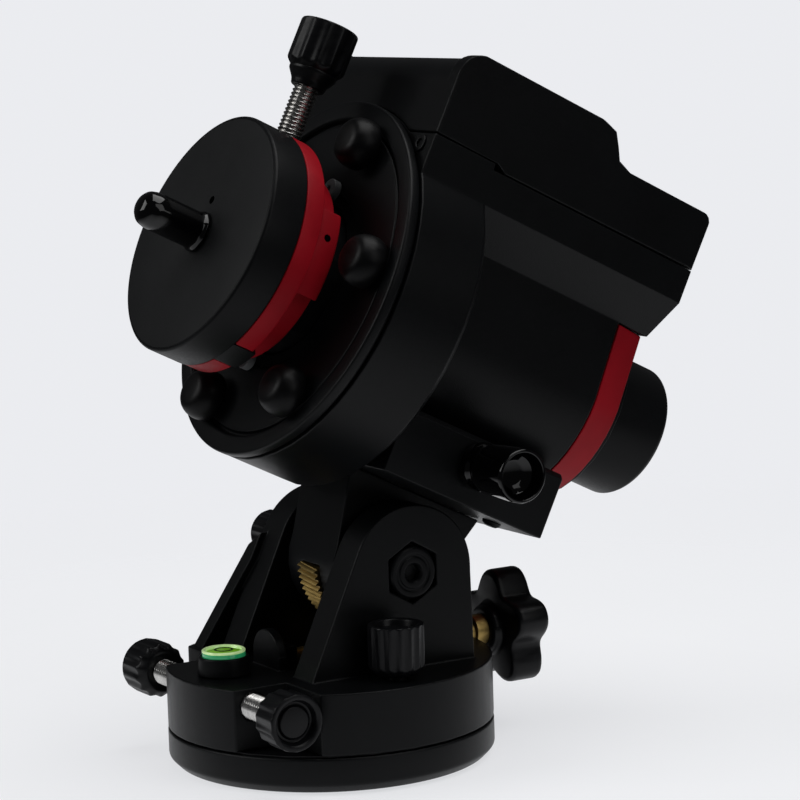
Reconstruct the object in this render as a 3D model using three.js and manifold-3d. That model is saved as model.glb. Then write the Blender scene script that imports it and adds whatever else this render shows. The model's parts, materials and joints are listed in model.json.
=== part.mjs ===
// Star tracker mount: a tripod plate, an azimuth base with a fork, and a right ascension head
// that tilts in the fork to the observer's latitude. Millimetres, +Z up, camera end towards -Y.
// It is drawn about the azimuth axis, with Z = 0 at the underside of the base. The assembly is then
// moved so that its origin is the middle of its footprint box.
import * as THREE from 'three';
import { mergeVertices } from 'three/addons/utils/BufferGeometryUtils.js';
import Module from 'manifold-3d';

const wasm = await Module();
wasm.setup();

// ---------------------------------------------------------------- driving dimensions
const GAP = 0.3;                 // clearance between neighbouring pieces
const FINE = 48;                 // segments round a large turned piece
const MEDIUM = 24;
const SMALL = 12;

const BASE_R = 50;               // tripod plate and azimuth base
const SEAM_Z = 11.15;            // joint between the two
const BASE_TOP = 30;
const SPINDLE_R = 8;

const NOTCH_X = 22;              // corner notches that the azimuth knobs stand in
const NOTCH_Y = -27;
const PUSH_Y = -38.5;            // azimuth push screws: a line along X
const PUSH_Z = 24.5;
const PEG_R = 4;
const LOCK_X = 38;               // azimuth lock knob
const LOCK_Y = 1.5;
const THREAD_R = 4;              // the hand screws
const LEVEL_Y = -36.2;           // centre of the bubble level

const ARM_IN = 17;               // fork arms, half distances in X
const ARM_OUT = 29;
const PIVOT_Y = 13.5;            // latitude pivot
const PIVOT_Z = 58.9;
const RECESS_R = 9.5;            // hexagonal recess round the pivot bolt's head
const ARM_R = 20.4;
const ARM_FRONT_Y = -22.2;
const ARM_REAR_Y = 34.4;
const BOLT_END = -49;            // X of the pivot bolt's threaded end
const LUG_HALF = 14;             // tilting lug between the arms
const LUG_R = 19;

const TAB_HALF = 8.2;            // round-topped tab in front of the worm
const WORM_Z = 31;               // altitude worm, a line along Y
const WORM_TIP = 6.7;
const SECTOR_TIP = PIVOT_Z - WORM_Z - WORM_TIP - GAP;
const SECTOR_TEETH = 66;         // teeth in a full circle
const SECTOR_SHOWN = 24;         // teeth cut on the sector
const SECTOR_START = 115.5;      // angle of its first tooth, degrees
const STAR_R = 18.7;
const STAR_LOBES = 5;

const LATITUDE = 26.53;          // tilt of the right ascension axis at rest, degrees
const AXIS_Y = 35.2;             // a point on that axis, the head's own origin
const AXIS_Z = 126.2;
const TILT = (LATITUDE * Math.PI) / 180;
// The pivot in the head's frame.
const LUG_N = (PIVOT_Y - AXIS_Y) * Math.sin(TILT) + (PIVOT_Z - AXIS_Z) * Math.cos(TILT);
const LUG_S = (AXIS_Y - PIVOT_Y) * Math.cos(TILT) + (PIVOT_Z - AXIS_Z) * Math.sin(TILT);

const DRUM_R = 57;               // head: stations along the axis are S, heights are N
const DRUM_BACK = 18.7;
const DRUM_FRONT = 44.2;
const DRUM_BORE = 50.5;
const BODY_R = 36;               // body: half round below, drafted flat sides above
const BODY_TOP_HALF = 33;
const BODY_TOP = 27.5;
const BODY_BACK = -46;
const BEARING_R = 31;
const SHAFT_R = 20;
const SCOPE_R = 13.5;
const BOX_HALF = 43;             // electronics box over the body
const BOX_BACK = -58;
const BOX_FLOOR = 25;
const BOX_SEAM = 48;
const SEAM_STEP = 2;             // the seam stands this much higher at the front
const HUMP_N = 77;
const DECK_N = 66;
const WALL = 3;
const SADDLE_HALF = 37;
const SADDLE_TOP = -25.3;
const SADDLE_LOW = -46;
const SADDLE_FRONT = 16.5;
const SADDLE_BACK = -44.3;
const CLAMP_N = -33.6;           // saddle clamp knob, a line along X
const CLAMP_S = -13.7;

const WHEEL_R = 36;              // right ascension worm wheel and worm
const WHEEL_TEETH = 144;
const WHEEL_S = 34;
const RA_WORM_R = 5;
const RA_WORM_N = WHEEL_R + RA_WORM_R + 2 * GAP;

const BLOCK_R = 37.4;            // camera block
const BLOCK_BACK = 70.9;
const BLOCK_FACE = 82.5;
const CLUTCH_BACK = 64.4;
const CLUTCH_R = 29.5;
const CLUTCH_TAIL = 55;
const PAD_ANGLES = [8, 172];     // grip pads on the clutch ring
const HUB_R = 24;
const CLUTCH_SCREW_S = 66.5;
const LUG_DEPTH = 1.4;           // the block's lugs reach this far past the clutch ring's step
const BLOCK_LUGS = [[90, 13], [212, 9], [302, 9]]; // angle and width of each lug

const BUMPER_CIRCLE = 45;        // rubber bumpers and cover screws on the front cover
const FIRST_BUMPER = 68;
const SCREW_CIRCLE = 28.2;
const COVER_FACE = 48.6;

const BUMPERS = 6;
const CELLS = 3;
const CELL_PITCH = 15;

// ---------------------------------------------------------------- materials
function finish(color, roughness, metalness) {
  return new THREE.MeshStandardMaterial({ color, roughness, metalness });
}
const castBlack = () => finish(0x17181a, 0.72, 0.25);
const satinBlack = () => finish(0x1c1d1f, 0.5, 0.3);
const knobBlack = () => finish(0x121214, 0.35, 0.0);
const vinylBlack = () => finish(0x0a0a0c, 0.15, 0.0);
const redPaint = () => finish(0xb40e1c, 0.45, 0.2);
const steel = () => finish(0xb9bcc0, 0.3, 0.95);
const brass = () => finish(0xb08d3f, 0.35, 0.9);
const greyPlastic = () => finish(0x8d9092, 0.6, 0.0);

// ---------------------------------------------------------------- shape helpers
function solid(geometry) {
  const bare = geometry.index ? geometry.toNonIndexed() : geometry.clone();
  bare.deleteAttribute('normal');
  bare.deleteAttribute('uv');
  const merged = mergeVertices(bare, 1e-4);
  const vertProperties = new Float32Array(merged.attributes.position.array);
  const triVerts = new Uint32Array(merged.index.array);
  return new wasm.Manifold(new wasm.Mesh({ numProp: 3, vertProperties, triVerts }));
}

function geometryOf(body) {
  const mesh = body.getMesh();
  const geometry = new THREE.BufferGeometry();
  geometry.setAttribute('position', new THREE.BufferAttribute(mesh.vertProperties, 3));
  geometry.setIndex(new THREE.BufferAttribute(mesh.triVerts, 1));
  geometry.computeVertexNormals();
  return geometry;
}

function join(first, ...others) {
  const total = others.reduce((sum, other) => sum.add(solid(other)), solid(first));
  return geometryOf(total);
}

function cut(first, ...tools) {
  const total = tools.reduce((rest, tool) => rest.subtract(solid(tool)), solid(first));
  return geometryOf(total);
}

// A closed outline of [radius, height] pairs turned about Z.
function turned(profile, segments = MEDIUM) {
  const points = profile.map(([r, z]) => new THREE.Vector2(r, z));
  if (profile[0][0] > 0) {
    points.push(points[0].clone());
  }
  return new THREE.LatheGeometry(points, segments).rotateX(Math.PI / 2);
}

function ring(inner, outer, low, high, segments = MEDIUM) {
  return turned([[inner, low], [outer, low], [outer, high], [inner, high]], segments);
}

function rod(radius, low, high, segments = SMALL) {
  return turned([[0, low], [radius, low], [radius, high], [0, high]], segments);
}

// Z onto X: a rod or a ring then lies along X.
function alongX(geometry) {
  return geometry.rotateY(Math.PI / 2);
}

// Z onto Y.
function alongY(geometry) {
  return geometry.rotateX(-Math.PI / 2);
}

function moved(geometry, x, y, z) {
  return geometry.translate(x, y, z);
}

function block(x0, x1, y0, y1, z0, z1) {
  const geometry = new THREE.BoxGeometry(x1 - x0, y1 - y0, z1 - z0);
  return geometry.translate((x0 + x1) / 2, (y0 + y1) / 2, (z0 + z1) / 2);
}

function outline(points) {
  return new THREE.Shape(points.map(([a, b]) => new THREE.Vector2(a, b)));
}

function plate(shape, low, high, curveSegments = 8) {
  const options = { depth: high - low, bevelEnabled: false, curveSegments };
  const geometry = new THREE.ExtrudeGeometry(shape, options);
  return geometry.translate(0, 0, low);
}

// A shape drawn in (Y, Z) and given its thickness along X.
function sidePlate(shape, x0, x1, curveSegments = 8) {
  const geometry = plate(shape, x0, x1, curveSegments);
  return geometry.rotateX(Math.PI / 2).rotateZ(Math.PI / 2);
}

function polygon(radius, sides, start = 0) {
  const corners = Array.from({ length: sides }, (_, i) => {
    const angle = start + (i * 2 * Math.PI) / sides;
    return [radius * Math.cos(angle), radius * Math.sin(angle)];
  });
  return outline(corners);
}

// A round outline whose radius dips between its ribs or teeth.
function rippled(radius, depth, count, pointsPerRib = 2) {
  const total = count * pointsPerRib;
  const points = Array.from({ length: total }, (_, i) => {
    const angle = (i * 2 * Math.PI) / total;
    const r = radius - (depth / 2) * (1 - Math.cos(count * angle));
    return [r * Math.cos(angle), r * Math.sin(angle)];
  });
  return outline(points);
}

// A fluted hand knob standing on Z = 0, open at its outer end like a moulded cup.
function flutedKnob(radius, height, bore) {
  const body = plate(rippled(radius, 0.9, 18), 0, height);
  const dish = rod(radius * 0.68, height - 4, height + 1, SMALL);
  const tools = bore > 0 ? [dish, rod(bore + GAP, -1, height - 6, SMALL)] : [dish];
  return cut(body, ...tools);
}

function part(name, geometry, material) {
  const mesh = new THREE.Mesh(geometry, material);
  mesh.name = name;
  return mesh;
}

// ---------------------------------------------------------------- tripod plate
function tripodPlate() {
  const edge = [];
  for (let i = 0; i <= 4; i += 1) {
    const angle = (i * Math.PI) / 8;
    edge.push([BASE_R - 2.8 * (1 - Math.sin(angle)), 2.8 * (1 - Math.cos(angle))]);
  }
  const profile = [[SPINDLE_R + GAP, 0], ...edge, [BASE_R, SEAM_Z - GAP], [16.3, SEAM_Z - GAP]];
  profile.push([16.3, 7.5], [SPINDLE_R + GAP, 7.5]);
  const pegSocket = moved(rod(PEG_R - 1 + GAP, 6, SEAM_Z + 1), 0, PUSH_Y, 0);
  return cut(turned(profile, FINE), pegSocket);
}

function azimuthPeg() {
  const foot = [[0, 6.3], [PEG_R - 1, 6.3], [PEG_R - 1, SEAM_Z]];
  const profile = [...foot, [PEG_R, SEAM_Z], [PEG_R, 27], [0, 27]];
  return moved(turned(profile, SMALL), 0, PUSH_Y, 0);
}

function spindle() {
  const profile = [[0, 7.8], [16, 7.8], [16, SEAM_Z - GAP], [SPINDLE_R, SEAM_Z - GAP], [SPINDLE_R, 18]];
  profile.push([2.8, 18], [2.8, 12], [0, 12]);
  return turned(profile);
}

function spindleScrew() {
  const shank = [[0, 12.5], [2.4, 12.5], [2.4, 18.4]];
  const washerAndHead = [[11.4, 18.4], [11.4, 19.8], [4.4, 19.8], [4.4, 22.4], [0, 22.4]];
  return turned([...shank, ...washerAndHead]);
}

// ---------------------------------------------------------------- azimuth base and fork
function armShape() {
  const shape = new THREE.Shape();
  const slopeFoot = new THREE.Vector2(ARM_FRONT_Y, BASE_TOP);
  const centre = new THREE.Vector2(PIVOT_Y, PIVOT_Z);
  const toFoot = slopeFoot.clone().sub(centre);
  const tangent = toFoot.angle() - Math.acos(ARM_R / toFoot.length());
  shape.moveTo(ARM_REAR_Y, BASE_TOP - 2);
  shape.lineTo(ARM_REAR_Y, BASE_TOP);
  shape.lineTo(PIVOT_Y + ARM_R, PIVOT_Z - 2);
  shape.absarc(PIVOT_Y, PIVOT_Z, ARM_R, 0, tangent, false);
  shape.lineTo(ARM_FRONT_Y, BASE_TOP);
  shape.lineTo(ARM_FRONT_Y, BASE_TOP - 2);
  return shape;
}

function forkArm(side) {
  const inner = side * ARM_IN;
  const outer = side * ARM_OUT;
  const arm = sidePlate(armShape(), Math.min(inner, outer), Math.max(inner, outer), 20);
  const bore = moved(alongX(rod(4.4, -40, 40)), 0, PIVOT_Y, PIVOT_Z);
  const recess = sidePlate(polygon(RECESS_R, 6, Math.PI / 2), ARM_OUT - 4, ARM_OUT + 1);
  return cut(arm, bore, moved(recess, 0, PIVOT_Y, PIVOT_Z));
}

// A slanting brace beside the left arm, from its shoulder out to the rim of the base.
function sideBrace() {
  const face = outline([[-41.5, 28], [-35.5, 28], [-28.5, 51], [-26, 58], [-26, 66], [-31, 62]]);
  const brace = plate(face, -6, 6).rotateX(Math.PI / 2);
  const lean = new THREE.Matrix4().makeShear(0, 0, 0, 0, 0, 0.488);
  brace.applyMatrix4(lean);
  return moved(brace, 0, -34.3, 0);
}

function azimuthBase() {
  const drum = ring(SPINDLE_R + GAP, BASE_R, SEAM_Z + GAP, BASE_TOP, FINE);
  const underside = ring(17, 31, SEAM_Z, 24, MEDIUM);
  const trough = block(-7.7, 7.7, -12, 27, 22.7, BASE_TOP + 1);
  const counterbore = rod(12, 18, BASE_TOP - 4, MEDIUM);
  const pegSlot = block(-10, 10, PUSH_Y - 5.2, PUSH_Y + 5.2, SEAM_Z, 28);
  const screwLine = alongX(rod(THREAD_R + GAP, -NOTCH_X - 1, NOTCH_X + 1));
  const screwHole = moved(screwLine, 0, PUSH_Y, PUSH_Z);
  const notchRight = block(NOTCH_X, 60, -60, NOTCH_Y, SEAM_Z, BASE_TOP + 1);
  const notchLeft = block(-60, -NOTCH_X, -60, NOTCH_Y, SEAM_Z, BASE_TOP + 1);
  const lockHole = moved(rod(3.3, SEAM_Z, BASE_TOP + 1), LOCK_X, LOCK_Y, 0);
  const holes = [underside, trough, counterbore, pegSlot, screwHole, lockHole];
  const lower = cut(drum, ...holes, notchRight, notchLeft);

  const tab = sidePlate(outline([[-22, 28], [-19, 28], [-19, 34], [-22, 34]]), -TAB_HALF, TAB_HALF);
  const tabTop = moved(alongY(rod(TAB_HALF, -22, -19, MEDIUM)), 0, 0, WORM_Z + 2.5);
  const wormSeat = block(-5.5, 5.5, -19.5, -14, 28, 36.5);
  const bossRear = block(-ARM_IN - 1, ARM_IN + 1, 29, 34.4, 28, 41);
  const wormHoleFront = moved(alongY(rod(3.8, -18, -10)), 0, 0, WORM_Z);
  const wormHoleRear = moved(alongY(rod(3.8, 26, 51)), 0, 0, WORM_Z);
  const fork = [forkArm(1), forkArm(-1), sideBrace()];
  const joined = join(lower, ...fork, tab, tabTop, wormSeat, bossRear);
  return cut(joined, wormHoleFront, wormHoleRear);
}

function levelCup() {
  const wall = [[0, BASE_TOP + GAP], [8.1, BASE_TOP + GAP], [8.1, 36.2], [7.5, 36.9]];
  const rim = [...wall, [6.9, 36.9], [6.9, 33], [0, 33]];
  return moved(turned(rim), 0, LEVEL_Y, 0);
}

function levelVial() {
  return moved(turned([[0, 33.3], [6.6, 33.3], [6.6, 37.2], [5.6, 37.7], [3, 38], [0, 38.1]]), 0, LEVEL_Y, 0);
}

function pivotBolt() {
  const face = [[0, ARM_OUT + 0.4], [7.2, ARM_OUT + 0.4], [7.9, ARM_OUT - 0.3]];
  const head = [...face, [7.9, ARM_OUT - 3.4], [THREAD_R, ARM_OUT - 3.4]];
  const profile = [...head, [THREAD_R, BOLT_END], [0, BOLT_END]].reverse();
  const socket = plate(polygon(2.7, 6), ARM_OUT - 2.8, ARM_OUT + 2);
  return moved(alongX(cut(turned(profile), socket)), 0, PIVOT_Y, PIVOT_Z);
}

// The right-hand piece, or its half turn about Z for the left-hand side.
function onSide(geometry, side) {
  return side > 0 ? geometry : geometry.rotateZ(Math.PI);
}

// The knob on the pivot bolt's far end clamps the fork on the tilting lug.
function latitudeLockKnob() {
  const collar = ring(THREAD_R + GAP, 5.6, 0, 16, SMALL);
  const grip = moved(flutedKnob(7.4, 16, THREAD_R), 0, 0, 14.7);
  const knob = moved(join(collar, grip), 0, 0, ARM_OUT + GAP);
  return moved(onSide(alongX(knob), -1), 0, PIVOT_Y, PIVOT_Z);
}

function pushScrew(side) {
  const tip = [[0, PEG_R + GAP], [3.4, PEG_R + GAP], [THREAD_R, 5.3]];
  const screw = turned([...tip, [THREAD_R, 41], [0, 41]], SMALL);
  return moved(onSide(alongX(screw), side), 0, PUSH_Y, PUSH_Z);
}

function pushKnob(side) {
  const knob = moved(flutedKnob(8.6, 12.5, THREAD_R), 0, 0, 36);
  return moved(onSide(alongX(knob), side), 0, PUSH_Y, PUSH_Z);
}

function azimuthLockKnob() {
  const knob = moved(flutedKnob(8.5, 15.5, 0), 0, 0, BASE_TOP + 1.2);
  const stem = rod(3, SEAM_Z + GAP, BASE_TOP + 2);
  return moved(join(knob, stem), LOCK_X, LOCK_Y, 0);
}

function altitudeWorm() {
  const profile = [[0, -17.5], [3.5, -17.5], [3.5, -4]];
  for (let i = 0; i < 6; i += 1) {
    const y = i * 4;
    profile.push([5.4, y], [WORM_TIP, y + 1.5], [5.4, y + 3]);
  }
  profile.push([3.5, 25.5], [3.5, 51], [5, 51], [5, 57], [3.2, 57], [3.2, 64], [0, 64]);
  return moved(alongY(turned(profile, SMALL)), 0, 0, WORM_Z);
}

function altitudeStarKnob() {
  const star = plate(rippled(STAR_R, 5.6, STAR_LOBES, 8), 58.2, 69.7).rotateZ(-Math.PI / 2);
  const hub = rod(8, 57.4, 60);
  return moved(alongY(cut(join(star, hub), rod(3.5, 50, 65))), 0, 0, WORM_Z);
}

// ---------------------------------------------------------------- tilting bracket
// Everything from here on is drawn in the head's frame: X, then N, then S along the axis.
function inPivot(a, b) {
  return [LUG_N + a, LUG_S + b];
}

function tiltBracket() {
  const neck = outline([inPivot(0, -LUG_R), inPivot(0, LUG_R), inPivot(13, 22), [SADDLE_LOW - GAP, 14],
    [SADDLE_LOW - GAP, -36], inPivot(13, -22)].reverse());
  const lug = moved(alongX(rod(LUG_R, -LUG_HALF, LUG_HALF, MEDIUM)), 0, LUG_N, LUG_S);
  const bracket = join(sidePlate(neck, -LUG_HALF, LUG_HALF), lug);
  const bore = moved(alongX(rod(THREAD_R + GAP, -20, 20)), 0, LUG_N, LUG_S);
  const slot = sidePlate(sectorSlot(), -5 - GAP, 5 + GAP);
  return cut(bracket, bore, moved(slot, 0, LUG_N, LUG_S));
}

// The part of a ring that the sector fills, with clearance all round.
function sectorSlot() {
  const margin = 1.6;
  const start = SECTOR_START - margin;
  const sweep = (SECTOR_SHOWN * 360) / SECTOR_TEETH + 2 * margin;
  const steps = 24;
  const points = [];
  for (const [radius, direction] of [[24, 1], [12, -1]]) {
    for (let i = 0; i <= steps; i += 1) {
      const share = direction > 0 ? i / steps : 1 - i / steps;
      const angle = ((start + share * sweep) * Math.PI) / 180;
      points.push([radius * Math.cos(angle), radius * Math.sin(angle)]);
    }
  }
  return outline(points);
}

function altitudeSector() {
  const pitch = (2 * Math.PI) / SECTOR_TEETH;
  const first = (SECTOR_START * Math.PI) / 180;
  const points = [];
  for (let i = 0; i < SECTOR_SHOWN; i += 1) {
    const angle = first + i * pitch;
    points.push([SECTOR_TIP - 1.2, angle]);
    points.push([SECTOR_TIP, angle + pitch * 0.3], [SECTOR_TIP, angle + pitch * 0.55]);
  }
  const last = points[points.length - 1][1];
  for (let i = 0; i <= 12; i += 1) {
    points.push([12 + GAP, last - ((last - first) * i) / 12]);
  }
  const shape = outline(points.map(([r, angle]) => [r * Math.cos(angle), r * Math.sin(angle)]));
  return moved(sidePlate(shape, -5, 5), 0, LUG_N, LUG_S);
}

function saddle() {
  const lip = 1.5;
  const right = [[SADDLE_HALF, SADDLE_LOW], [SADDLE_HALF, SADDLE_TOP - lip], [SADDLE_HALF - lip, SADDLE_TOP]];
  const left = right.map(([x, n]) => [-x, n]).reverse();
  const face = outline([...right, ...left]);
  const bar = plate(face, SADDLE_BACK, SADDLE_FRONT);
  const cradle = rod(BODY_R + GAP, SADDLE_BACK - 1, SADDLE_FRONT + 1, FINE);
  const clampHole = moved(alongX(rod(3 + GAP, 20, 40)), 0, CLAMP_N, CLAMP_S);
  return cut(bar, cradle, clampHole);
}

function saddleClampKnob() {
  const knob = [[0, 22], [3, 22], [3, 37.5], [6.6, 37.5], [7.4, 38.4], [7.4, 41.5], [6.2, 43], [7.6, 45]];
  knob.push([8.3, 60.4], [7.5, 61.8], [6, 61.8], [5.2, 58.5], [0, 58.5]);
  return moved(alongX(turned(knob, 14)), 0, CLAMP_N, CLAMP_S);
}

// ---------------------------------------------------------------- head housing
function boxFace(inset) {
  const half = BOX_HALF - inset;
  const floor = BOX_FLOOR + inset;
  const right = [[33 - inset, floor], [half, 37], [half, BOX_SEAM - GAP]];
  const left = right.map(([x, n]) => [-x, n]).reverse();
  return outline([...right, ...left]);
}

// The body's section: half round below, with flat drafted sides up to a given height.
function bodyShape(radius, topHalf, top) {
  const shape = new THREE.Shape();
  shape.moveTo(topHalf, top);
  shape.lineTo(-topHalf, top);
  shape.lineTo(-radius, 0);
  shape.absarc(0, 0, radius, Math.PI, 2 * Math.PI, false);
  return shape;
}

function mainHousing() {
  const box = plate(boxFace(0), BOX_BACK, DRUM_FRONT);
  const frontRise = block(-BOX_HALF, BOX_HALF, BOX_SEAM - 1, BOX_SEAM + SEAM_STEP - GAP, 21.4, DRUM_FRONT);
  const boxRoom = plate(boxFace(WALL), BOX_BACK + WALL, DRUM_FRONT - WALL);
  const roomTop = block(WALL - BOX_HALF, BOX_HALF - WALL, 46, 60, BOX_BACK + WALL, DRUM_FRONT - WALL);
  const tray = cut(join(box, frontRise), boxRoom, roomTop);
  const drum = turned([[0, DRUM_BACK], [DRUM_R - 2, DRUM_BACK], [DRUM_R, DRUM_BACK + 2], [DRUM_R, DRUM_FRONT],
    [0, DRUM_FRONT]], FINE);
  const section = bodyShape(BODY_R, BODY_TOP_HALF, BODY_TOP);
  const body = plate(section, BODY_BACK, DRUM_BACK + 2, FINE / 4);
  const drumRoom = rod(DRUM_BORE, DRUM_BACK + 5, DRUM_FRONT + 1, FINE);
  const bore = rod(BEARING_R + GAP, -30, DRUM_BACK + 6, MEDIUM);
  const scopeBore = rod(SCOPE_R + 1.5, BODY_BACK - 1, -29, MEDIUM);
  const motorRoom = block(-18, 40.4, 33, 52, 26.8, 41.2);
  const switchRoom = block(-20, -10, 36, 42, BOX_BACK - 1, BOX_BACK + WALL + 1);
  const socketRoom = moved(rod(4 + GAP, BOX_BACK - 1, BOX_BACK + WALL + 1), 12, 39, 0);
  return cut(join(tray, drum, body), drumRoom, bore, scopeBore, motorRoom, switchRoom, socketRoom);
}

// The cover's outline in (N, S), with an edge radius at its front and an inset for the inside.
function coverShape(frontRadius, inset) {
  const shape = new THREE.Shape();
  const top = HUMP_N - inset;
  const front = DRUM_FRONT - inset;
  const r = frontRadius - inset;
  const deck = DECK_N - inset;
  const back = BOX_BACK + inset;
  const low = inset > 0 ? BOX_SEAM - 2 : BOX_SEAM;
  shape.moveTo(low, back);
  shape.lineTo(deck - 4, back);
  shape.quadraticCurveTo(deck, back, deck, back + 4);
  shape.lineTo(deck, -24 + inset / 2);
  shape.bezierCurveTo(deck, -14 + inset / 2, top, -20 + inset / 2, top, -8 + inset / 2);
  shape.lineTo(top, front - r);
  shape.absarc(top - r, front - r, r, 0, Math.PI / 2, false);
  shape.lineTo(low + SEAM_STEP, front);
  shape.lineTo(low + SEAM_STEP, 21);
  shape.lineTo(low, 17);
  return shape;
}

function topCover() {
  const shell = sidePlate(coverShape(11, 0), -38.5, 38.5, 8);
  const rightCheek = sidePlate(coverShape(8, 0), 38, BOX_HALF, 4);
  const leftCheek = sidePlate(coverShape(8, 0), -BOX_HALF, -38, 4);
  const room = sidePlate(coverShape(11, WALL), WALL - BOX_HALF, BOX_HALF - WALL, 6);
  const drumTop = rod(DRUM_R + GAP, DRUM_BACK - GAP, DRUM_FRONT + 1, FINE);
  const shellHollow = cut(join(shell, rightCheek, leftCheek), room, drumTop);
  const posts = [[-28, 0], [28, 0], [-28, 20], [28, 20]].map(([x, s]) => {
    const post = rod(2.5, 0, HUMP_N - 1 - 70, 8).rotateX(-Math.PI / 2);
    return moved(post, x, 70, s);
  });
  return join(shellHollow, ...posts);
}

function frontCover() {
  const profile = [[HUB_R + 2 * GAP, DRUM_FRONT + GAP], [DRUM_R - 1, DRUM_FRONT + GAP], [DRUM_R - 1, 45.4],
    [DRUM_R, 45.4], [DRUM_R, COVER_FACE], [50.6, COVER_FACE], [50.6, 46.6], [49.6, 47.6],
    [HUB_R + 2 * GAP, 47.6]];
  return turned(profile, FINE);
}

function bumper(index) {
  const angle = ((FIRST_BUMPER + (index * 360) / BUMPERS) * Math.PI) / 180;
  const side = [[0, 48.9], [7.8, 48.9], [8, 51.5]];
  const dome = turned([...side, [7.4, 55], [5.8, 57.3], [3.2, 58.3], [0, 58.5]], SMALL);
  return moved(dome, BUMPER_CIRCLE * Math.cos(angle), BUMPER_CIRCLE * Math.sin(angle), 0);
}

function coverScrew(angleDegrees) {
  const angle = (angleDegrees * Math.PI) / 180;
  const head = rod(2.9, 47.9, 50.4);
  return moved(head, SCREW_CIRCLE * Math.cos(angle), SCREW_CIRCLE * Math.sin(angle), 0);
}

// A plate whose low end is smaller than its high end.
function tapered(geometry, low, ratio) {
  const position = geometry.attributes.position;
  for (let i = 0; i < position.count; i += 1) {
    if (Math.abs(position.getZ(i) - low) < GAP) {
      position.setXY(i, position.getX(i) * ratio, position.getY(i) * ratio);
    }
  }
  return geometry;
}

function rearRing() {
  const back = -57.3;
  const section = bodyShape(BODY_R - 0.1, BODY_TOP_HALF, BODY_TOP + 2);
  const band = tapered(plate(section, back, BODY_BACK - GAP - 0.1, FINE / 4), back, 0.925);
  return cut(band, block(-60, 60, BOX_FLOOR - GAP, 60, -60, -40), rod(22.5, -60, -40, MEDIUM));
}

function rearPlate() {
  const disc = ring(SCOPE_R + 1.5, 31, -60, -57.7);
  return cut(disc, block(-60, 60, BOX_FLOOR - GAP, 60, -62, -40));
}

// ---------------------------------------------------------------- inside the head
function bearing(s) {
  const shieldGroove = [[23, s], [23, s + 1], [28, s + 1], [28, s]];
  const profile = [[SHAFT_R + GAP, s], ...shieldGroove, [BEARING_R, s], [BEARING_R, s + 8]];
  profile.push([SHAFT_R + GAP, s + 8]);
  return turned(profile, 20);
}

function raShaft() {
  const bore = SCOPE_R + 2 * GAP;
  return turned([[bore, -24], [SHAFT_R, -24], [SHAFT_R, 29], [HUB_R, 29], [HUB_R, 29.6], [SHAFT_R, 29.6],
    [SHAFT_R, 43], [HUB_R, 43], [HUB_R, CLUTCH_TAIL + 10], [bore, CLUTCH_TAIL + 10]]);
}

function wormWheel() {
  const teeth = plate(rippled(WHEEL_R, 0.9, WHEEL_TEETH), WHEEL_S - 3.5, WHEEL_S + 3.5);
  return cut(teeth, rod(SHAFT_R + GAP, WHEEL_S - 5, WHEEL_S + 5, MEDIUM));
}

function raWorm() {
  const profile = [[0, -15], [2, -15], [2, -8.5]];
  for (let i = 0; i < 6; i += 1) {
    const x = -8 + i * 2.7;
    profile.push([4.1, x], [RA_WORM_R, x + 1], [4.1, x + 2]);
  }
  profile.push([2, 9], [2, 12.4], [0, 12.4]);
  return moved(alongX(turned(profile, 10)), 0, RA_WORM_N, WHEEL_S);
}

function driveMotor() {
  const motor = turned([[0, 12.8], [6.6, 12.8], [6.6, 38], [2.4, 38], [2.4, 39.6], [0, 39.6]], SMALL);
  return moved(alongX(motor), 0, RA_WORM_N + 0.3, WHEEL_S);
}

function batteryTray() {
  const floor = block(-33, 33, 44, 45.6, -53, -7);
  const ends = [-33, 31].map((x) => block(x, x + 2, 45, 56, -53, -7));
  return join(floor, ...ends);
}

function battery(index) {
  const cell = turned([[0, -25], [7, -25], [7, 24], [2.7, 24], [2.7, 25.4], [0, 25.4]], 20);
  const oriented = index % 2 === 0 ? alongX(cell) : alongX(cell).rotateY(Math.PI);
  return moved(oriented, 0, 53.1, -45 + CELL_PITCH * index);
}

function circuitBoard() {
  return block(-32, 32, 68, 69.6, -6, 26);
}

function powerSwitch() {
  const lever = block(-17, -13, 37, 41, BOX_BACK - 2.2, BOX_BACK + 2);
  const flange = block(-18.4, -11.6, 36.6, 41.4, BOX_BACK + 2, BOX_BACK + 3.8);
  return join(lever, flange);
}

function powerSocket() {
  return moved(ring(1.6, 4, BOX_BACK - 0.8, BOX_BACK + 9, SMALL), 12, 39, 0);
}

// ---------------------------------------------------------------- polar scope
function scopeTube() {
  const outer = [[18.6, -72], [18.6, -60.4], [SCOPE_R, -60.4]];
  return turned([[15, -72], ...outer, [SCOPE_R, 27], [11, 27], [11, 24], [12.4, 24], [12.4, -58], [15, -62]]);
}

function lens(radius, s, bulge) {
  return turned([[0, s - bulge], [radius * 0.6, s - bulge * 0.6], [radius, s], [radius, s + 2],
    [radius * 0.6, s + 2 + bulge * 0.6], [0, s + 2 + bulge]], 16);
}

function reticle() {
  return rod(12.1, -46, -44.5);
}

function polarCap() {
  const outside = [[0, -85.9], [20, -85.9], [21.7, -84.2], [21.7, -61.4]];
  return turned([...outside, [18.9, -61.4], [18.9, -82.6], [0, -82.6]], 36);
}

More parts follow.
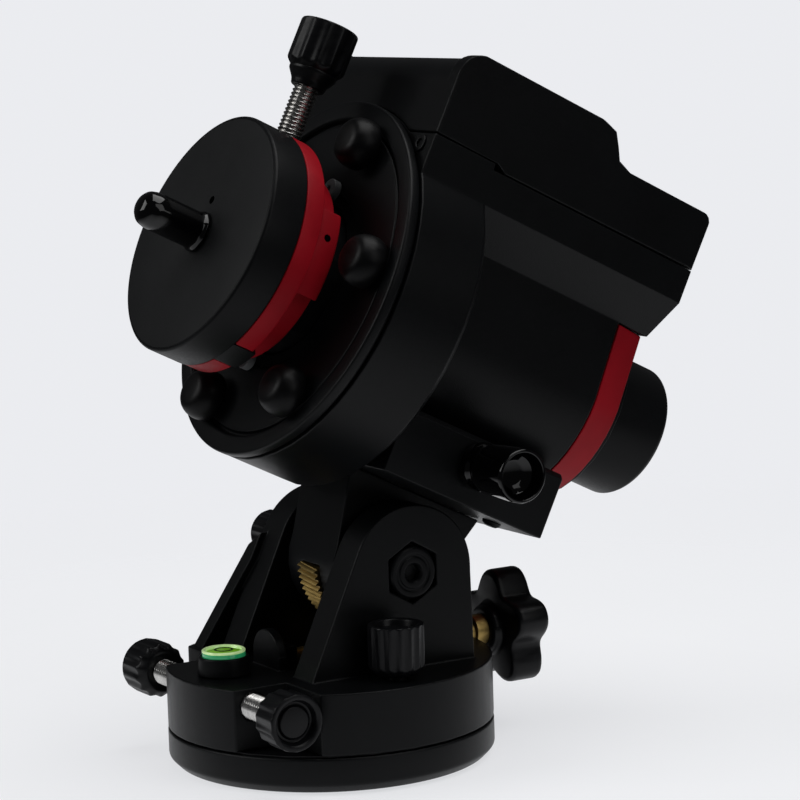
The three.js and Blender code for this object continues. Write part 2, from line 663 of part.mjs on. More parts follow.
// ---------------------------------------------------------------- camera block and clutch
function cameraBlock() {
  const disc = turned([[0, BLOCK_BACK], [BLOCK_R, BLOCK_BACK], [BLOCK_R, BLOCK_FACE - 0.7],
    [BLOCK_R - 0.7, BLOCK_FACE], [0, BLOCK_FACE]], FINE);
  const lugs = BLOCK_LUGS.map(([angle, width]) => {
    const lug = block(27, BLOCK_R - 0.8, -width / 2, width / 2, CLUTCH_BACK - LUG_DEPTH, BLOCK_BACK + 1);
    return lug.rotateZ((angle * Math.PI) / 180);
  });
  const screwHole = rod(THREAD_R + GAP, 0, 45).rotateX(-Math.PI / 2);
  const setScrewHole = moved(rod(1.1, BLOCK_FACE - 3, BLOCK_FACE + 1, 8), 0, 10.4, 0);
  const holes = [moved(screwHole, 0, 26, CLUTCH_SCREW_S), setScrewHole, rod(4.7, BLOCK_FACE - 9, 90)];
  return cut(join(disc, ...lugs), ...holes);
}

function clutchRing() {
  const bore = HUB_R + 2 * GAP;
  const narrow = [[bore, CLUTCH_TAIL], [CLUTCH_R, CLUTCH_TAIL], [CLUTCH_R, CLUTCH_BACK]];
  const wide = [[BLOCK_R - 0.2, CLUTCH_BACK], [BLOCK_R - 0.2, BLOCK_BACK - GAP]];
  const band = turned([...narrow, ...wide, [bore, BLOCK_BACK - GAP]], FINE);
  const pads = PAD_ANGLES.map((angle) => {
    const pad = block(24.8, 33.4, -13.2, 13.2, CLUTCH_TAIL + 1, CLUTCH_BACK + 1);
    return pad.rotateZ((angle * Math.PI) / 180);
  });
  const slots = BLOCK_LUGS.map(([angle, width]) => {
    const half = width / 2 + GAP;
    const slot = block(26.6, 40, -half, half, CLUTCH_BACK - LUG_DEPTH - GAP, BLOCK_BACK + 1);
    return slot.rotateZ((angle * Math.PI) / 180);
  });
  const pinHole = moved(alongX(rod(1, 30, 40, 8)), 0, 12.5, 60);
  const screwHole = moved(rod(THREAD_R + GAP, 0, 45).rotateX(-Math.PI / 2), 0, 20, CLUTCH_SCREW_S);
  return cut(join(band, ...pads), ...slots, pinHole, screwHole);
}

function cameraStud() {
  const root = BLOCK_FACE - 8.5;
  return turned([[0, root], [4.4, root], [4.4, 96.6], [3.6, 97.4], [0, 97.4]], SMALL);
}

function studCap() {
  const profile = [[4.8, BLOCK_FACE + GAP], [6.6, BLOCK_FACE + GAP], [6.6, 84], [5.75, 84.4], [5.75, 99.5]];
  profile.push([5, 102.3], [3, 103.9], [0, 104.4], [0, 98], [4.8, 98]);
  return turned(profile, 20);
}

function clutchScrew() {
  const screw = rod(THREAD_R, HUB_R + 2 * GAP, 62, SMALL).rotateX(-Math.PI / 2);
  return moved(screw, 0, 0, CLUTCH_SCREW_S);
}

function clutchKnob() {
  const grip = moved(flutedKnob(9, 15.5, THREAD_R), 0, 0, 57.5);
  const collar = cut(turned([[0, 53], [5.2, 53], [7.6, 58], [0, 58]], SMALL), rod(THREAD_R + GAP, 50, 66));
  return moved(join(grip, collar).rotateX(-Math.PI / 2), 0, 0, CLUTCH_SCREW_S);
}

// ---------------------------------------------------------------- assembly
const tracker = new THREE.Group();
tracker.add(
  part('tripod_plate', tripodPlate(), castBlack()),
  part('thread_insert', ring(4.2, SPINDLE_R, 0.2, 7.2), steel()),
  part('azimuth_peg', azimuthPeg(), steel()),
  part('azimuth_spindle', spindle(), steel()),
  part('spindle_screw', spindleScrew(), steel()),
  part('azimuth_base', azimuthBase(), castBlack()),
  part('glide_ring', ring(44.6, 48.8, SEAM_Z - 0.2, SEAM_Z + 0.2), satinBlack()),
  part('level_cup', levelCup(), satinBlack()),
  part('level_vial', levelVial(), finish(0x9fd60f, 0.15, 0)),
  part('pivot_bolt', pivotBolt(), satinBlack()),
  part('latitude_lock_knob', latitudeLockKnob(), knobBlack()),
  part('azimuth_lock_knob', azimuthLockKnob(), knobBlack()),
  part('push_screw_right', pushScrew(1), steel()),
  part('push_knob_right', pushKnob(1), knobBlack()),
  part('push_screw_left', pushScrew(-1), steel()),
  part('push_knob_left', pushKnob(-1), knobBlack()),
  part('altitude_worm', altitudeWorm(), brass()),
  part('altitude_star_knob', altitudeStarKnob(), knobBlack()),
);

const head = new THREE.Group();
head.position.set(0, AXIS_Y, AXIS_Z);
head.rotation.x = Math.PI / 2 - TILT;
tracker.add(head);
head.add(
  part('tilt_bracket', tiltBracket(), castBlack()),
  part('altitude_sector', altitudeSector(), brass()),
  part('saddle', saddle(), castBlack()),
  part('saddle_clamp_knob', saddleClampKnob(), vinylBlack()),
  part('main_housing', mainHousing(), castBlack()),
  part('top_cover', topCover(), castBlack()),
  part('front_cover', frontCover(), castBlack()),
  part('rear_ring', rearRing(), redPaint()),
  part('rear_plate', rearPlate(), satinBlack()),
  part('bearing_front', bearing(13), steel()),
  part('bearing_rear', bearing(-23), steel()),
  part('worm_wheel', wormWheel(), brass()),
  part('ra_worm', raWorm(), steel()),
  part('drive_motor', driveMotor(), steel()),
  part('battery_tray', batteryTray(), greyPlastic()),
  part('circuit_board', circuitBoard(), finish(0x1c5a34, 0.6, 0)),
  part('power_switch', powerSwitch(), knobBlack()),
  part('power_socket', powerSocket(), steel()),
  part('ra_shaft', raShaft(), satinBlack()),
  part('scope_tube', scopeTube(), satinBlack()),
  part('objective_lens', lens(10.8, 20, 0.8), finish(0xdfe8ee, 0.05, 0)),
  part('reticle', reticle(), finish(0xdfe8ee, 0.05, 0)),
  part('eyepiece_lens', lens(14, -66, 1.2), finish(0xdfe8ee, 0.05, 0)),
  part('polar_cap', polarCap(), satinBlack()),
  part('camera_block', cameraBlock(), satinBlack()),
  part('clutch_ring', clutchRing(), redPaint()),
  part('camera_stud', cameraStud(), steel()),
  part('stud_cap', studCap(), vinylBlack()),
  part('clutch_screw', clutchScrew(), steel()),
  part('clutch_knob', clutchKnob(), knobBlack()),
);
for (let i = 0; i < BUMPERS; i += 1) {
  head.add(part(`bumper_${i + 1}`, bumper(i), knobBlack()));
}
for (let i = 0; i < CELLS; i += 1) {
  head.add(part(`battery_${i + 1}`, battery(i), finish(0x3b5fa0, 0.35, 0.5)));
}
head.add(part('cover_screw_1', coverScrew(79), greyPlastic()));
head.add(part('cover_screw_2', coverScrew(-102), greyPlastic()));

const footprint = new THREE.Box3().setFromObject(tracker, true);
const middle = footprint.getCenter(new THREE.Vector3());
tracker.position.set(-middle.x, -middle.y, 0);

export default tracker;
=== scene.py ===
"""Looks of the star tracker mount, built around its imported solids.

Shapes are drawn in millimetres in one of two frames. BASE stands on the azimuth axis with Z up.
HEAD has X across, N up from the right ascension axis and S along it towards the camera end.
place() turns them into metres. Angles in outlines are in degrees.
"""

import json
import math

import bmesh
import bpy
from mathutils import Matrix, Vector


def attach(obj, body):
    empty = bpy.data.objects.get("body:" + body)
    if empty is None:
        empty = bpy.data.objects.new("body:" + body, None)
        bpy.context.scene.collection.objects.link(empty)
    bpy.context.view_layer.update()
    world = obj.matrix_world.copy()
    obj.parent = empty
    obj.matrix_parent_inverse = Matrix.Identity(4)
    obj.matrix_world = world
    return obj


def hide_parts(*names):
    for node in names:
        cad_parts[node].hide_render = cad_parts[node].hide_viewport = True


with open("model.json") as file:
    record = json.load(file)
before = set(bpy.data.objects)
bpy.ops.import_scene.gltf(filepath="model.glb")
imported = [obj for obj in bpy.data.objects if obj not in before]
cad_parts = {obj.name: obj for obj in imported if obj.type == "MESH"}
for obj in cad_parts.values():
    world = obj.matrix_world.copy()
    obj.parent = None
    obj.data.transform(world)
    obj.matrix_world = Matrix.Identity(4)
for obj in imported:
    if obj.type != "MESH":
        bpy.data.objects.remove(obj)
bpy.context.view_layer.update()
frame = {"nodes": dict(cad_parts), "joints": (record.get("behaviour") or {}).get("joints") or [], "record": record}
JOINTS = {joint["name"]: joint for joint in frame["joints"]}
SLOT_OF = {row["node"]: row["material_slot"] for row in frame["record"]["subparts"]}
BODY_OF = {
    node: body
    for body, nodes in frame["record"]["behaviour"]["bodies"].items()
    for node in nodes
}

# ------------------------------------------------------------------ frames and driving sizes
MM = 0.001
FINE = 128  # segments round a large turned piece
COARSE = 48  # segments round a small one


def basis(x, y, z, origin):
    """The matrix whose columns are three unit vectors and an origin."""
    matrix = Matrix.Identity(4)
    for column, vector in enumerate((x, y, z, origin)):
        for row in range(3):
            matrix[row][column] = vector[row]
    return matrix


def joint_point(name):
    """A point on a joint's axis, in millimetres."""
    return Vector(JOINTS[name]["pos_m"]) / MM


AZIMUTH = joint_point("azimuth_turn")
BASE = Matrix.Translation((AZIMUTH.x, AZIMUTH.y, 0))
AXIS = Vector(JOINTS["ra_turn"]["axis"])
RISE = Vector((0, AXIS.z, -AXIS.y))
ACROSS = Vector((1, 0, 0))
HEAD = basis(ACROSS, RISE, AXIS, joint_point("ra_turn"))
TO_X = Matrix.Rotation(math.pi / 2, 4, "Y")
TO_Y = Matrix.Rotation(-math.pi / 2, 4, "X")
TO_MINUS_X = Matrix.Rotation(-math.pi / 2, 4, "Y")


def extent(node, axis, base=BASE):
    """Lowest and highest coordinate of a CAD node along one axis of a frame, in millimetres."""
    to_base = base.inverted()
    values = [(to_base @ (v.co / MM))[axis] for v in frame["nodes"][node].data.vertices]
    return min(values), max(values)


def head_extent(node, axis):
    return extent(node, axis, HEAD)


def middle(node, axis, base=BASE):
    return sum(extent(node, axis, base)) / 2


BASE_R = extent("tripod_plate", 0)[1]
SEAM_Z = extent("tripod_plate", 2)[1]
PUSH_Y = middle("push_screw_right", 1)
PUSH_Z = middle("push_screw_right", 2)
LEVEL_Y = middle("level_cup", 1)
LEVEL_Z = extent("level_cup", 2)
LOCK = BASE.inverted() @ joint_point("azimuth_lock_turn")
PIVOT = BASE.inverted() @ joint_point("latitude_tilt")
WORM_Z = joint_point("altitude_worm_turn").z
CLUTCH_SCREW_S = middle("clutch_screw", 2, HEAD)
SCREW_TO_BLOCK = 4.4
BLOCK_BACK, BLOCK_FACE = CLUTCH_SCREW_S + SCREW_TO_BLOCK, head_extent("camera_block", 2)[1]
BLOCK_R = head_extent("camera_block", 0)[1]
COVER_R = head_extent("front_cover", 0)[1]
COVER_BACK, COVER_FACE = head_extent("front_cover", 2)
CAP_BACK, CAP_FRONT = head_extent("polar_cap", 2)
CAP_R = head_extent("polar_cap", 0)[1]
STUD_CAP_S = head_extent("stud_cap", 2)


# ------------------------------------------------------------------ mesh making
def fillet(points, radius, closed):
    """An outline with its corners rounded. The ends of an open outline stay sharp."""
    steps = 4
    most_of_side = 0.45
    made = []
    count = len(points)
    for i, here in enumerate(points):
        here = Vector(here)
        if not closed and i in (0, count - 1):
            made.append(here)
            continue
        back = Vector(points[i - 1]) - here
        ahead = Vector(points[(i + 1) % count]) - here
        reach = min(radius, back.length * most_of_side, ahead.length * most_of_side)
        start = here + back.normalized() * reach
        end = here + ahead.normalized() * reach
        for step in range(steps + 1):
            t = step / steps
            made.append(start * (1 - t) ** 2 + here * 2 * t * (1 - t) + end * t * t)
    return [tuple(p) for p in made]


def grid(rows):
    """A mesh from rows of points that run round the piece, with both ends closed."""
    bm = bmesh.new()
    made = [[bm.verts.new(p) for p in row] for row in rows]
    width = len(rows[0])
    for low, high in zip(made, made[1:]):
        for i in range(width):
            j = (i + 1) % width
            bm.faces.new((low[i], low[j], high[j], high[i]))
    bm.faces.new(list(reversed(made[0])))
    bm.faces.new(made[-1])
    return bm


def finished(bm):
    """Merges points that coincide, drops empty faces and turns the rest outwards."""
    bmesh.ops.remove_doubles(bm, verts=bm.verts, dist=1e-4)
    bmesh.ops.dissolve_degenerate(bm, dist=1e-5, edges=bm.edges)
    bmesh.ops.recalc_face_normals(bm, faces=bm.faces)
    return bm


def turned(profile, radius=0.3, segments=FINE, shape=None):
    """A profile of (radius, height) points turned about Z. It starts and ends on the axis, or it
    closes on itself. shape(angle, radius, height) may change the radius round the piece."""
    closed = profile[0][0] > 0
    line = fillet(profile, radius, closed)
    if closed:
        line.append(line[0])
    bm = bmesh.new()
    rows = []
    for r, z in line:
        if r < 1e-6:
            rows.append([bm.verts.new((0, 0, z))] * segments)
            continue
        row = []
        for i in range(segments):
            angle = 2 * math.pi * i / segments
            wide = shape(angle, r, z) if shape else r
            row.append(bm.verts.new((wide * math.cos(angle), wide * math.sin(angle), z)))
        rows.append(row)
    for low, high in zip(rows, rows[1:]):
        for i in range(segments):
            j = (i + 1) % segments
            corners = list(dict.fromkeys((low[i], low[j], high[j], high[i])))
            if len(corners) > 2:
                bm.faces.new(corners)
    return finished(bm)


def slab(outline, low, high, edge):
    """A flat outline given a thickness along Z, with its rims bevelled."""
    bm = grid([[(x, y, z) for x, y in outline] for z in (low, high)])
    bm = finished(bm)
    rims = [e for e in bm.edges if abs(e.verts[0].co.z - e.verts[1].co.z) < 1e-6]
    bmesh.ops.bevel(bm, geom=rims, offset=edge, segments=3, profile=0.5, affect="EDGES")
    return finished(bm)


def arc_band(inner, outer, low, high, start, end, edge=0.3):
    """A stretch of a ring between two angles."""
    step_angle, fewest_steps = 2.5, 4
    steps = max(fewest_steps, round(abs(end - start) / step_angle))
    angles = [math.radians(start + (end - start) * i / steps) for i in range(steps + 1)]
    outline = [(outer * math.cos(a), outer * math.sin(a)) for a in angles]
    outline += [(inner * math.cos(a), inner * math.sin(a)) for a in reversed(angles)]
    return slab(outline, low, high, edge)


def threaded(radius, pitch, low, high, depth, around=36, per_turn=10):
    """A screw thread as one helical surface."""
    count = round((high - low) / pitch * per_turn)
    rows = []
    for k in range(count + 1):
        z = low + (high - low) * k / count
        runout = min(1.0, (z - low) / pitch, (high - z) / pitch)
        row = []
        for i in range(around):
            angle = 2 * math.pi * i / around
            phase = (z / pitch - i / around) % 1.0
            tooth = 1 - abs(2 * phase - 1)
            r = radius - depth * (1 - tooth * runout)
            row.append((r * math.cos(angle), r * math.sin(angle), z))
        rows.append(row)
    return finished(grid(rows))


# ------------------------------------------------------------------ placing pieces
def shown(name, bm, node, material, where):
    """Makes an object of a mesh drawn in millimetres. It rides with the body of a CAD node."""
    bm.transform(Matrix.Diagonal((MM, MM, MM, 1)) @ where)
    mesh = bpy.data.meshes.new(name)
    bm.to_mesh(mesh)
    bm.free()
    mesh.polygons.foreach_set("use_smooth", [True] * len(mesh.polygons))
    mesh.set_sharp_from_angle(angle=math.radians(38))
    mesh.materials.append(material)
    thing = bpy.data.objects.new(name, mesh)
    bpy.context.scene.collection.objects.link(thing)
    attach(thing, BODY_OF[node])
    return thing


def place(name, bm, node, where, material=None):
    """A piece that is shown in place of a CAD node."""
    thing = shown(name, bm, node, material or of_slot(node), where)
    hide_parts(node)
    return thing


def detail(name, bm, node, where, material=None):
    """A small feature on a piece that already has its own mesh."""
    return shown(name, bm, node, material or of_slot(node), where)


def casting(node, edge=0.45, shortest=0.0):
    """A cast or machined body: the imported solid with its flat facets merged. Its sharp edges are
    rounded to the width edge where they are longer than shortest."""
    flat, rounded_above, shaded_above = (math.radians(angle) for angle in (1, 40, 32))
    bm = bmesh.new()
    bm.from_mesh(frame["nodes"][node].data)
    bmesh.ops.transform(bm, matrix=Matrix.Diagonal((1 / MM, 1 / MM, 1 / MM, 1)), verts=bm.verts)
    bmesh.ops.remove_doubles(bm, verts=bm.verts, dist=0.01)
    bmesh.ops.dissolve_limit(bm, angle_limit=flat, verts=bm.verts, edges=bm.edges)
    weight = bm.edges.layers.float.new("bevel_weight_edge")
    for e in bm.edges:
        sharp = e.is_manifold and e.calc_face_angle(0) > rounded_above
        e[weight] = 1.0 if sharp and e.calc_length() > shortest else 0.0
    thing = place(node + "_body", bm, node, Matrix.Identity(4))
    stale = thing.data.attributes.get("custom_normal")
    if stale:
        thing.data.attributes.remove(stale)
    thing.data.set_sharp_from_angle(angle=shaded_above)
    rounding = thing.modifiers.new("rounded edges", "BEVEL")
    rounding.width = edge * MM
    rounding.segments = 3
    rounding.limit_method = "WEIGHT"
    rounding.use_clamp_overlap = False
    rounding.harden_normals = True


# ------------------------------------------------------------------ materials
class Graph:
    """A short way to wire a material's nodes."""

    def __init__(self, name):
        self.material = bpy.data.materials.new(name)
        self.material.use_nodes = True
        self.tree = self.material.node_tree
        self.surface = self.tree.nodes["Principled BSDF"]
        self.place = self.add("ShaderNodeTexCoord").outputs["Object"]

    def add(self, kind, settings=None, **inputs):
        node = self.tree.nodes.new(kind)
        for key, value in (settings or {}).items():
            setattr(node, key, value)
        for key, value in inputs.items():
            self.put(node.inputs[key.replace("_", " ")], value)
        return node

    def put(self, socket, value):
        if isinstance(value, bpy.types.NodeSocket):
            self.tree.links.new(value, socket)
        else:
            socket.default_value = value

    def noise(self, per_mm, detail=3.0, roughness=0.55, stretch=(1, 1, 1)):
        scale = [s * per_mm / MM for s in stretch]
        spot = self.add("ShaderNodeMapping", Vector=self.place, Scale=scale).outputs["Vector"]
        look = {"Scale": 1.0, "Detail": detail, "Roughness": roughness}
        return self.add("ShaderNodeTexNoise", Vector=spot, **look).outputs["Fac"]

    def spread(self, value, low, high, start=0.3, end=0.7):
        """Maps a value that runs from start to end onto the range from low to high."""
        node = self.add("ShaderNodeMapRange", Value=value)
        for key, number in zip(("From Min", "From Max", "To Min", "To Max"), (start, end, low, high)):
            node.inputs[key].default_value = number
        return node.outputs["Result"]

    def mix(self, factor, first, second):
        node = self.add("ShaderNodeMix", {"data_type": "RGBA"})
        self.put(node.inputs[0], factor)
        self.put(node.inputs[6], first)
        self.put(node.inputs[7], second)
        return node.outputs[2]

    def multiply(self, first, second):
        node = self.add("ShaderNodeMath", {"operation": "MULTIPLY", "use_clamp": True})
        self.put(node.inputs[0], first)
        self.put(node.inputs[1], second)
        return node.outputs[0]

    def rounded(self, width_mm):
        """Normals that run smoothly over edges, and how near an edge a point is."""
        bevel = self.add("ShaderNodeBevel", {"samples": 6}, Radius=width_mm * MM)
        flat = self.add("ShaderNodeNewGeometry").outputs["Normal"]
        agree = self.add("ShaderNodeVectorMath", {"operation": "DOT_PRODUCT"})
        self.put(agree.inputs[0], bevel.outputs["Normal"])
        self.put(agree.inputs[1], flat)
        edge = self.spread(agree.outputs["Value"], 1.0, 0.0, 0.8, 0.995)
        return bevel.outputs["Normal"], edge

    def bump(self, height, depth_mm, strength, normal=None):
        node = self.add("ShaderNodeBump", Height=height, Strength=strength, Distance=depth_mm * MM)
        if normal:
            self.put(node.inputs["Normal"], normal)
        return node.outputs["Normal"]

    def finish(self, **inputs):
        for key, value in inputs.items():
            self.put(self.surface.inputs[key.replace("_", " ")], value)
        return self.material


def rgb(red, green, blue):
    return (red, green, blue, 1.0)


def scaled(shade, factor):
    return rgb(*(min(1.0, c * factor) for c in shade))


def powder_coat(name, shade):
    """Fine-grained black coating with a painted highlight along its edges, broken up by noise."""
    g = Graph(name)
    normal, edge = g.rounded(0.5)
    broad = g.noise(0.035)
    colour = g.mix(g.spread(broad, 0, 1), scaled(shade, 0.75), scaled(shade, 1.3))
    # Painted highlight: near edges the colour is mixed towards a paler grey, as if light caught them.
    painted_edge_highlight = g.multiply(edge, g.spread(g.noise(0.5), 0.35, 1.0, 0.35, 0.65))
    colour = g.mix(painted_edge_highlight, colour, rgb(0.045, 0.046, 0.048))
    grains = g.noise(2.4, detail=4.0, roughness=0.7)
    return g.finish(
        Base_Color=colour,
        Roughness=g.spread(grains, 0.3, 0.44),
        Specular_IOR_Level=0.13,
        Normal=g.bump(grains, 0.2, 0.32, normal),
    )


def anodised(name, shade, roughness=(0.34, 0.46), edge_highlight_gain=2.2, level=0.16):
    """Smooth satin coating with faint machining marks and a painted highlight along its edges."""
    g = Graph(name)
    normal, edge = g.rounded(0.3)
    marks = g.noise(1.4, detail=2.0)
    clouds = g.noise(0.06)
    colour = g.mix(g.spread(clouds, 0, 1), scaled(shade, 0.85), scaled(shade, 1.15))
    # Painted highlight: near edges the colour is mixed towards a lighter copy of itself.
    colour = g.mix(g.multiply(edge, 0.4), colour, scaled(shade, edge_highlight_gain))
    return g.finish(
        Base_Color=colour,
        Roughness=g.spread(marks, *roughness),
        Specular_IOR_Level=level,
        Normal=g.bump(marks, 0.05, 0.12, normal),
    )


def moulded(name, shade, roughness=(0.2, 0.32), coat=0.0, wave=0.08, level=0.3):
    """Moulded plastic or dipped vinyl: smooth, a little wavy, with handling marks."""
    g = Graph(name)
    waves = g.noise(0.3, detail=1.0)
    smears = g.noise(0.18, detail=5.0, stretch=(1, 1, 3))
    return g.finish(
        Base_Color=g.mix(g.spread(smears, 0, 1), rgb(*shade), scaled(shade, 1.6)),
        Roughness=g.spread(smears, *roughness),
        Specular_IOR_Level=level,
        Coat_Weight=coat,
        Coat_Roughness=0.06,
        Normal=g.bump(waves, wave, 0.15),
    )


def metal(name, shade, roughness=(0.16, 0.34)):
    """Bare turned metal with fine marks along one way and slight tarnish."""
    g = Graph(name)
    marks = g.noise(1.2, detail=4.0, stretch=(1, 1, 12))
    tarnish = g.noise(0.25)
    return g.finish(
        Base_Color=g.mix(g.spread(tarnish, 0, 1), scaled(shade, 0.62), rgb(*shade)),
        Metallic=1.0,
        Roughness=g.spread(marks, *roughness),
        Normal=g.bump(marks, 0.03, 0.2),
    )


def fluid(name, shade, painted_glow):
    """Clear tinted liquid in acrylic, given a painted glow for the light it gathers."""
    g = Graph(name)
    swirl = g.noise(0.2)
    colour = g.mix(g.spread(swirl, 0, 1), scaled(shade, 0.8), rgb(*shade))
    return g.finish(
        Base_Color=colour,
        Roughness=g.spread(swirl, 0.04, 0.09),
        # Painted glow: the liquid emits light although it is no lamp.
        Emission_Color=colour,
        Emission_Strength=painted_glow,
        Coat_Weight=1.0,
        Coat_Roughness=0.03,
    )


def glass(name, tint):
    """A coated lens: nearly clear, with a faint cast and light dust."""
    g = Graph(name)
    dust = g.noise(1.1, detail=4.0)
    return g.finish(
        Base_Color=rgb(*tint),
        Transmission_Weight=0.95,
        Roughness=g.spread(dust, 0.01, 0.06),
        IOR=1.5,
    )


def circuit(name):
    """Green solder mask with tracks showing as slightly raised bands."""
    g = Graph(name)
    spot = g.add("ShaderNodeMapping", Vector=g.place, Scale=(260, 260, 260))
    tracks = g.add("ShaderNodeTexBrick", Vector=spot.outputs["Vector"], Scale=1.0)
    tracks.inputs["Color1"].default_value = rgb(0.02, 0.13, 0.05)
    tracks.inputs["Color2"].default_value = rgb(0.03, 0.18, 0.07)
    tracks.inputs["Mortar"].default_value = rgb(0.05, 0.26, 0.1)
    return g.finish(
        Base_Color=tracks.outputs["Color"],
        Roughness=g.spread(g.noise(0.8), 0.3, 0.45),
        Normal=g.bump(tracks.outputs["Fac"], 0.05, 0.4),
    )


MATERIALS = {
    "cast_black": powder_coat("cast_black", (0.002, 0.0023, 0.0027)),
    "satin_black": anodised("satin_black", (0.003, 0.0032, 0.0037), level=0.11),
    "red_anodised": anodised("red_anodised", (0.27, 0.004, 0.01), (0.36, 0.5), 1.25, 0.08),
    "knob_black": moulded("knob_black", (0.002, 0.0021, 0.0026), (0.27, 0.42), level=0.16),
    "rubber_black": moulded("rubber_black", (0.0012, 0.0012, 0.0014), (0.34, 0.46), level=0.12),
    "vinyl_black": moulded("vinyl_black", (0.0006, 0.0006, 0.0008), (0.05, 0.1), 0.35, 0.14, 0.15),
    "bright_steel": metal("bright_steel", (0.66, 0.65, 0.63)),
    "brass": metal("brass", (0.46, 0.32, 0.11), (0.28, 0.46)),
    "grey_plastic": moulded("grey_plastic", (0.085, 0.088, 0.09), (0.4, 0.55)),
    "level_green": fluid("level_green", (0.28, 0.72, 0.03), 0.25),
    "optical_glass": glass("optical_glass", (0.82, 0.9, 0.95)),
    "board_green": circuit("board_green"),
    "cell_wrap": moulded("cell_wrap", (0.03, 0.07, 0.22), (0.2, 0.3)),
}
# Painted light: the disc face is a lighter copy of the satin black, for the light that falls on it.
BLOCK_FACE_LIT_COPY = anodised("block_face", (0.0085, 0.009, 0.0095), (0.4, 0.5), 1.5, 0.16)
# A paler and a darker copy of the level fluid for its rim and side, each with a painted glow.
LEVEL_RIM_FINISH = fluid("level_rim", (0.66, 0.92, 0.42), 0.35)
LEVEL_SIDE_FINISH = fluid("level_side", (0.03, 0.42, 0.16), 0.22)
LEVEL_MARK_FINISH = moulded("level_mark", (0.004, 0.01, 0.004))
# Painted shadow: a near-black disc stands in for the shade inside a hole.
HOLE_PAINTED_SHADOW = moulded("hole_shadow", (0.0002, 0.0002, 0.0002), (0.7, 0.9), level=0.0)


def of_slot(node):
    """The material of the slot that the record gives a CAD node."""
    return MATERIALS[SLOT_OF[node]]


# ------------------------------------------------------------------ base
M8_RADIUS, M8_PITCH, M8_DEPTH = 4, 1.25, 0.62


def tripod_plate():
    bore, chamfer, pocket, pocket_floor = 8.3, 2.8, 16.3, 7.5
    profile = [(bore, 0), (BASE_R - chamfer, 0), (BASE_R, chamfer), (BASE_R, SEAM_Z)]
    profile += [(pocket, SEAM_Z), (pocket, pocket_floor), (bore, pocket_floor)]
    place("tripod_disc", turned(profile, 0.8), "tripod_plate", BASE)


def level():
    """A tapered cup with a pale rim, green fluid with a painted glow and a black ring to read the bubble by."""
    low, high = LEVEL_Z
    seat = 33
    where = BASE @ Matrix.Translation((0, LEVEL_Y, 0))
    lip = high - 1.0
    cup = [(0, low), (8.1, low), (7.6, lip - 0.3), (7, lip), (6.7, lip - 0.3), (6.7, seat), (0, seat)]
    place("level_boss", turned(cup, 0.35), "level_cup", where)
    fluid_top = [(0, seat + 0.3), (5.2, seat + 0.3), (5.2, 37.2), (3, 37.45), (0, 37.5)]
    place("level_fluid", turned(fluid_top, 0.2), "level_vial", where)
    side = [(5.3, seat + 0.3), (6.55, seat + 0.3), (6.55, 36.9), (5.3, 36.9)]
    detail("level_side", turned(side, 0.15), "level_cup", where, LEVEL_SIDE_FINISH)
    rim = [(5.3, 36.95), (6.6, 36.95), (6.6, 37.5), (6.2, 37.75), (5.5, 37.6)]
    detail("level_rim", turned(rim, 0.2), "level_cup", where, LEVEL_RIM_FINISH)
    mark = [(2.3, 37.4), (2.85, 37.4), (2.85, 37.62), (2.3, 37.62)]
    detail("level_ring_mark", turned(mark, 0.03), "level_cup", where, LEVEL_MARK_FINISH)


def flutes(radius, count, depth, low, high):
    """Wide hollows down a knob's side, which run out towards its ends."""

    def shape(angle, r, z):
        outer = max(0.0, min(1.0, (r - radius + 1.8) / 1.2))
        fade = max(0.0, min(1.0, (z - low) / 1.6, (high - z) / 1.2))
        hollow = ((1 - math.cos(count * angle)) / 2) ** 0.8
        return r - depth * outer * fade * hollow

    return shape


def hand_knob(radius, height, count=14):
    """A moulded hand knob standing on Z = 0, with a dished face and a raised centre."""
    rim = radius - 1.9
    profile = [(0, 0.4), (radius - 2.6, 0), (radius, 2.6), (radius, height)]
    profile += [(rim, height), (rim - 0.6, height - 2.6), (rim - 1.7, height - 2.6)]
    profile += [(rim - 2.0, height - 1.5), (0, height - 1.3)]
    shape = flutes(radius, count, 0.7, 1.4, height - 0.2)
    return turned(profile, 0.9, FINE * 2, shape)


def push_screws():
    tip, tail, knob_foot = 4.4, 40.8, 36
    for side, turn in (("right", TO_X), ("left", TO_MINUS_X)):
        where = BASE @ Matrix.Translation((0, PUSH_Y, PUSH_Z)) @ turn
        thread = threaded(M8_RADIUS, M8_PITCH, tip, tail, M8_DEPTH)
        place(f"push_thread_{side}", thread, f"push_screw_{side}", where)
        outward = where @ Matrix.Translation((0, 0, knob_foot))
        place(f"push_grip_{side}", hand_knob(8.6, 12.5), f"push_knob_{side}", outward)


def lock_knob():
    node = "azimuth_lock_knob"
    low, high = extent(node, 2)
    tall = 15.5
    where = BASE @ Matrix.Translation((LOCK.x, LOCK.y, 0))
    grip = hand_knob(8.5, tall, 16)
    place("azimuth_lock_grip", grip, node, where @ Matrix.Translation((0, 0, high - tall)))
    stem = turned([(0, low), (3, low), (3, high - tall + 1), (0, high - tall + 1)], 0.2, COARSE)
    place("azimuth_lock_stem", stem, node, where)


def latitude_lock():
    node = "latitude_lock_knob"
    end, start = (abs(x) for x in extent(node, 0))
    tall = 15.8
    where = BASE @ Matrix.Translation((0, PIVOT.y, PIVOT.z)) @ TO_MINUS_X
    collar = [(4.2, start), (5.6, start), (5.6, end - tall + 1), (4.2, end - tall + 1)]
    place("latitude_lock_collar", turned(collar, 0.3), node, where)
    grip = hand_knob(7.4, tall)
    place("latitude_lock_grip", grip, node, where @ Matrix.Translation((0, 0, end - tall)))


